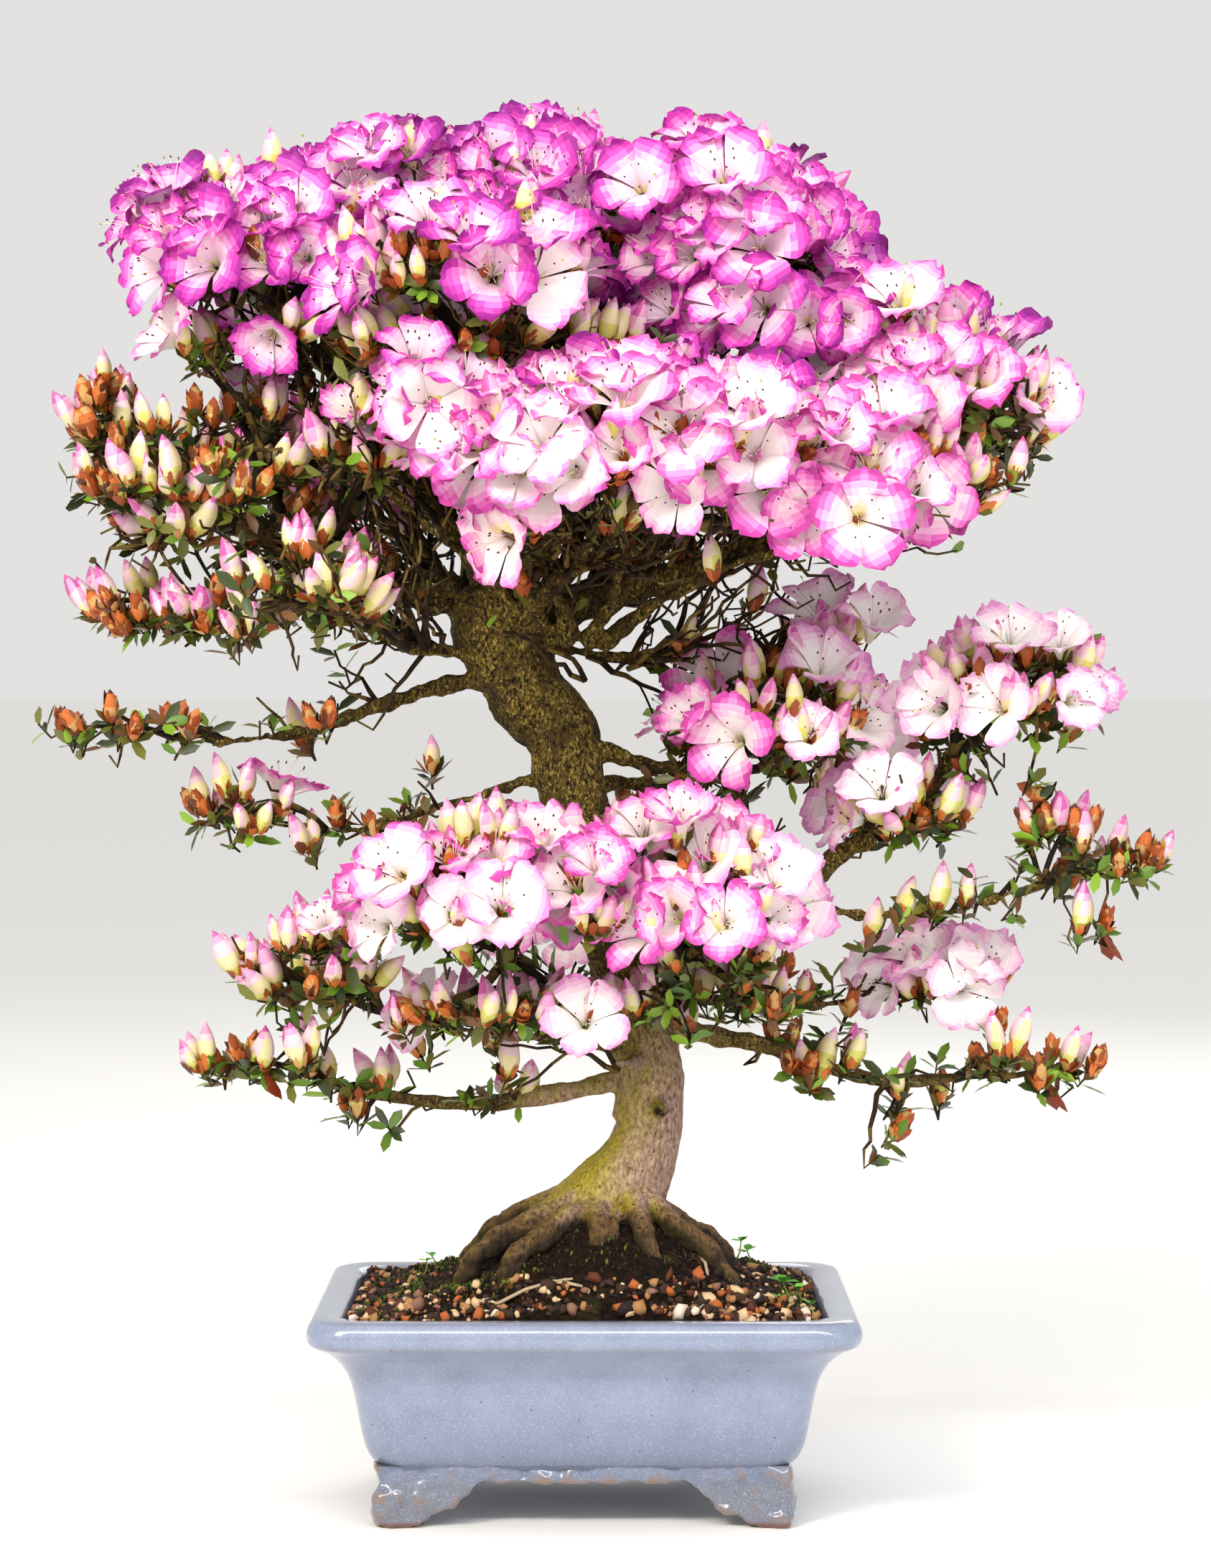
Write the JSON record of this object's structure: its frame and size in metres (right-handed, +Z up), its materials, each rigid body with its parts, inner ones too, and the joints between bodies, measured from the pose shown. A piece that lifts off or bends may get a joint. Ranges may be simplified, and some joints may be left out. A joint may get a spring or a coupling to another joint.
{
  "type": "azalea bonsai",
  "caption": "Azalea bonsai in bloom: a leaning trunk with flared roots, spreading boughs with pink and white flowers, in a footed rectangular glazed pot.",
  "frame": {"origin": "on the table under the middle of the whole plant's box", "axes": "+Z up, -Y towards the viewer of the front, +X to the right of the front, along the pot's long side"},
  "size_m": [0.5958, 0.3932, 0.7309],
  "materials": {
    "pot_glaze": "gloss",
    "soil": "matte",
    "bark": "matte",
    "blossom": "satin",
    "buds": "satin"
  },
  "bodies": {
    "root": {"pot": "pot_glaze", "soil": "soil", "trunk": "bark", "bough_low_left_tip": "bark", "bough_low_left": "bark", "bough_low_front_left": "bark", "bough_low_front_right": "bark", "bough_low_back": "bark", "bough_low_right_tip": "bark", "bough_low_right": "bark", "bough_right_outer": "bark", "bough_right_inner": "bark", "bough_right_back": "bark", "bough_mid_left": "bark", "bough_far_left": "bark", "bough_left_low": "bark", "bough_left": "bark", "bough_top_left": "bark", "bough_top": "bark", "bough_top_front": "bark", "bough_top_right": "bark", "bough_top_back": "bark", "bough_front": "bark", "bough_right": "bark", "bough_under_right": "bark", "bough_back_left": "bark", "bough_back_right": "bark", "bough_far_right": "bark", "mass_low_left_tip": "buds", "mass_low_left": "buds", "mass_low_front_left": "blossom", "mass_low_front_right": "blossom", "mass_low_back": "blossom", "mass_low_right_tip": "buds", "mass_low_right": "blossom", "mass_right_outer": "blossom", "mass_right_inner": "blossom", "mass_right_back": "blossom", "mass_mid_left": "buds", "mass_far_left": "buds", "mass_left_low": "buds", "mass_left": "buds", "mass_top_left": "blossom", "mass_top": "blossom", "mass_top_front": "blossom", "mass_top_right": "blossom", "mass_top_back": "blossom", "mass_front": "blossom", "mass_right": "blossom", "mass_under_right": "blossom", "mass_back_left": "blossom", "mass_back_right": "blossom", "mass_far_right": "buds"}
  },
  "joints": []
}
